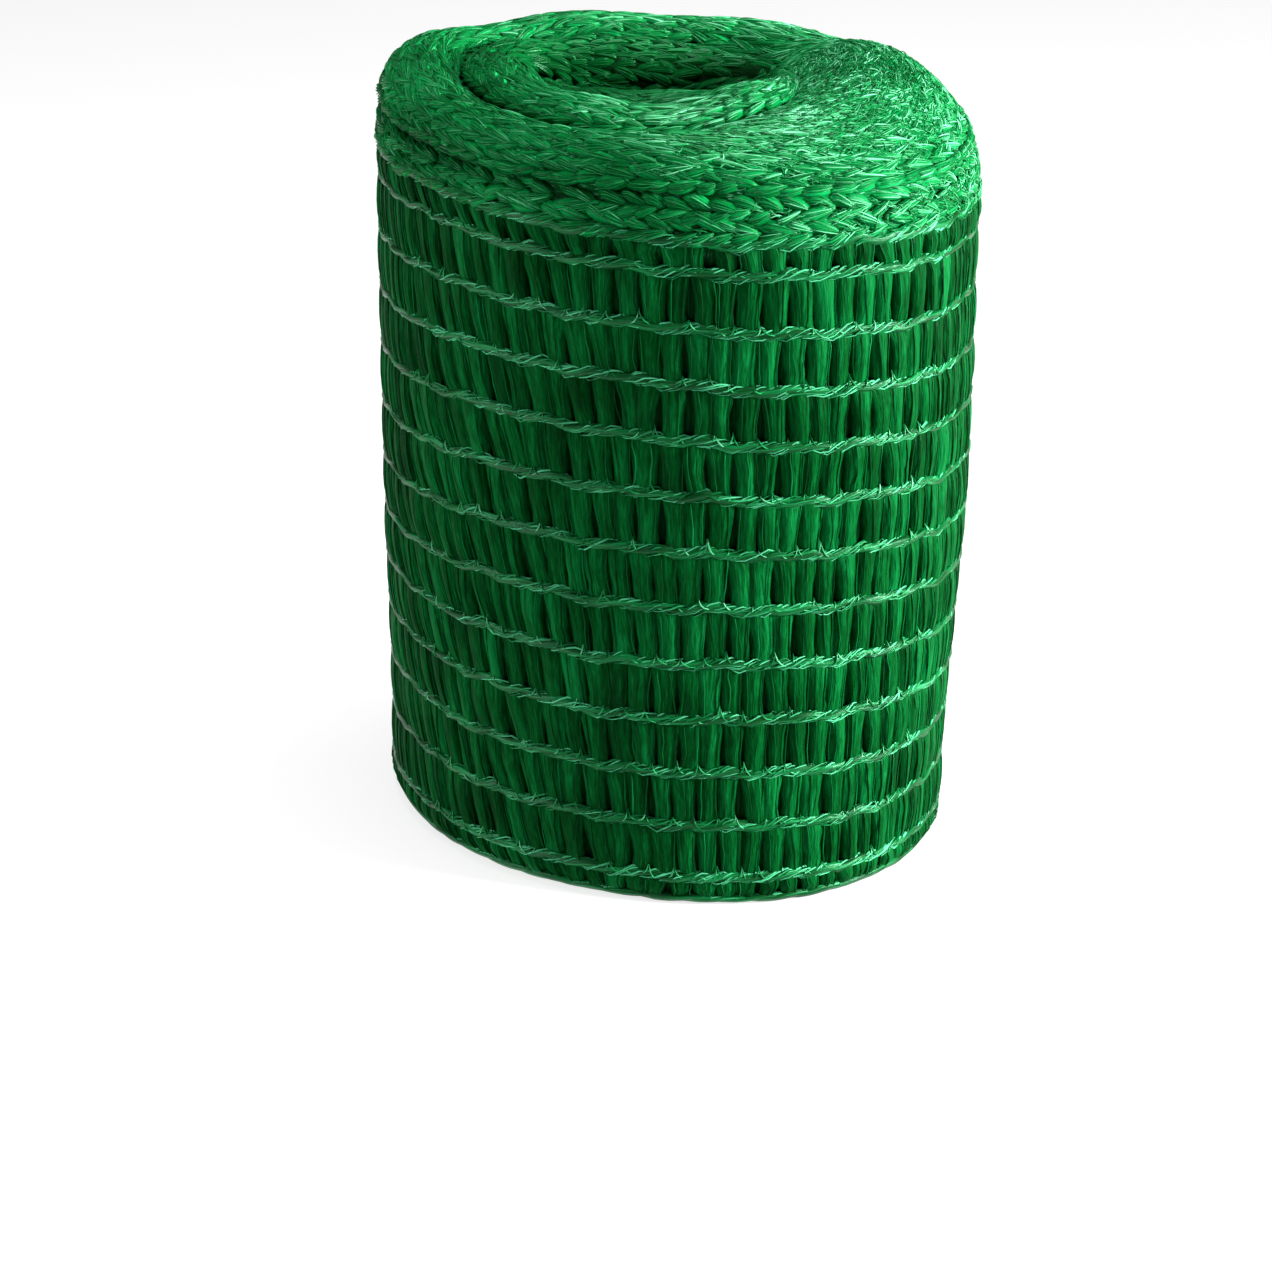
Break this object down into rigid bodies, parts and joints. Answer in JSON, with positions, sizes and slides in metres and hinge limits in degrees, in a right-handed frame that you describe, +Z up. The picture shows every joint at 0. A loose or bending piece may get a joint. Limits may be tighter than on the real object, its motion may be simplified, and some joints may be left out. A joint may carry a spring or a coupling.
{
  "type": "wound privacy netting bundle",
  "caption": "Upright bundle of knitted privacy screen netting, folded lengthwise and wound, with ribbed sides, rolled folds round the top and an open core.",
  "frame": {"origin": "on the floor under the middle of the bundle", "axes": "+Z up along the winding axis, -Y the front as pictured, +X to the right"},
  "size_m": [0.3488, 0.3556, 0.4563],
  "materials": {
    "netting": "knitted polyethylene tape yarn, satin green"
  },
  "bodies": {
    "root": {"netting": "netting"}
  },
  "joints": []
}
